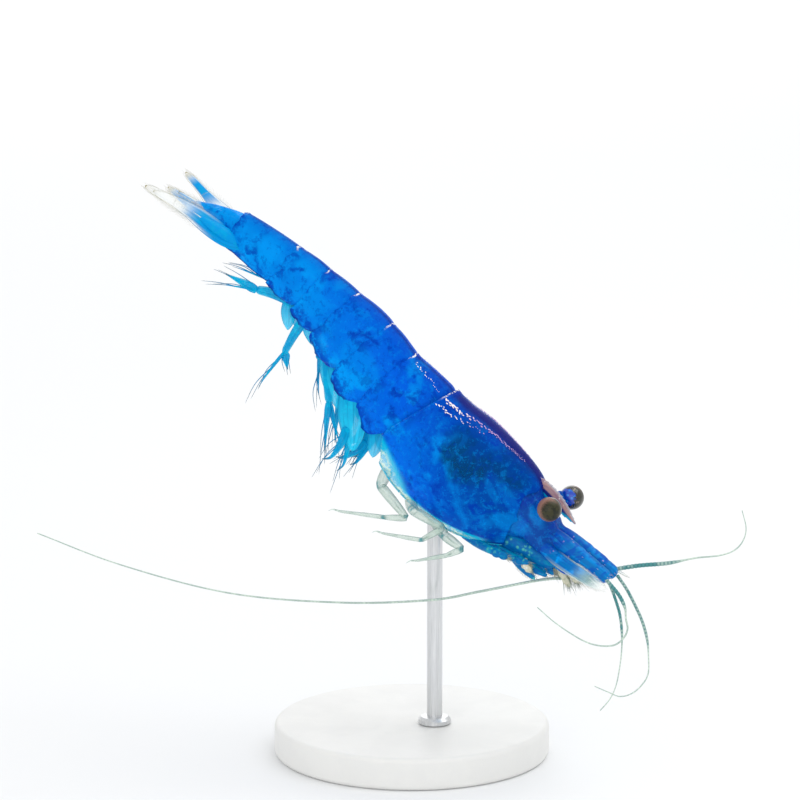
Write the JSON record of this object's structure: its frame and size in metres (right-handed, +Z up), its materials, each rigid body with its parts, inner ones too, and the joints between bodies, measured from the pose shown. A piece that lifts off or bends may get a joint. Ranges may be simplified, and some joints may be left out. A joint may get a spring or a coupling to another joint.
{
  "type": "freshwater dwarf shrimp (Neocaridina) display model",
  "caption": "Life-size still model of a blue freshwater dwarf shrimp swimming head down, held over a round base by a short rod.",
  "frame": {"origin": "middle of the stand base's flat underside, on the floor", "axes": "+Z up, +X from the tail towards the head in plan, +Y to the animal's left; the body's midplane is the XZ plane"},
  "size_m": [0.033, 0.0126, 0.0257],
  "materials": {
    "blue_shell": "glossy translucent royal blue shell over blue flesh, darker at the edges",
    "blue_flesh": "soft satin blue flesh",
    "cyan_fin": "thin clear cyan fin with a bright edge",
    "teal_limb": "clear pale teal limb",
    "pale_feeler": "clear pale greenish thread",
    "dark_cornea": "glossy near-black eye",
    "white_base": "satin off-white",
    "steel_rod": "plain brushed steel"
  },
  "bodies": {
    "root": {"abdomen_1": "blue_shell", "abdomen_2": "blue_shell", "abdomen_3": "blue_shell", "abdomen_4": "blue_shell", "abdomen_5": "blue_shell", "abdomen_6": "blue_shell", "antenna_left_1": "pale_feeler", "antenna_left_2": "pale_feeler", "antenna_left_3": "pale_feeler", "antenna_right_1": "pale_feeler", "antenna_right_2": "pale_feeler", "antenna_right_3": "pale_feeler", "antennal_scale_left": "blue_shell", "antennal_scale_right": "blue_shell", "antennule_base_left": "blue_shell", "antennule_base_right": "blue_shell", "antennule_inner_left_1": "pale_feeler", "antennule_inner_left_2": "pale_feeler", "antennule_inner_right_1": "pale_feeler", "antennule_inner_right_2": "pale_feeler", "antennule_outer_left_1": "pale_feeler", "antennule_outer_left_2": "pale_feeler", "antennule_outer_right_1": "pale_feeler", "antennule_outer_right_2": "pale_feeler", "carapace": "blue_shell", "eye_left": "dark_cornea", "eye_right": "dark_cornea", "eyestalk_left": "blue_flesh", "eyestalk_right": "blue_flesh", "head_block": "blue_flesh", "leg_1_left": "teal_limb", "leg_1_right": "teal_limb", "leg_2_left": "teal_limb", "leg_2_right": "teal_limb", "leg_3_left": "teal_limb", "leg_3_right": "teal_limb", "leg_4_left": "teal_limb", "leg_4_right": "teal_limb", "leg_5_left": "teal_limb", "leg_5_right": "teal_limb", "maxilliped_left": "teal_limb", "maxilliped_right": "teal_limb", "mouthparts": "blue_flesh", "pleopod_left_1": "cyan_fin", "pleopod_left_2": "cyan_fin", "pleopod_left_3": "cyan_fin", "pleopod_left_4": "cyan_fin", "pleopod_left_5": "cyan_fin", "pleopod_right_1": "cyan_fin", "pleopod_right_2": "cyan_fin", "pleopod_right_3": "cyan_fin", "pleopod_right_4": "cyan_fin", "pleopod_right_5": "cyan_fin", "stand_base": "white_base", "stand_rod": "steel_rod", "telson": "blue_shell", "uropod_left_inner": "blue_shell", "uropod_left_outer": "blue_shell", "uropod_right_inner": "blue_shell", "uropod_right_outer": "blue_shell"}
  },
  "joints": []
}
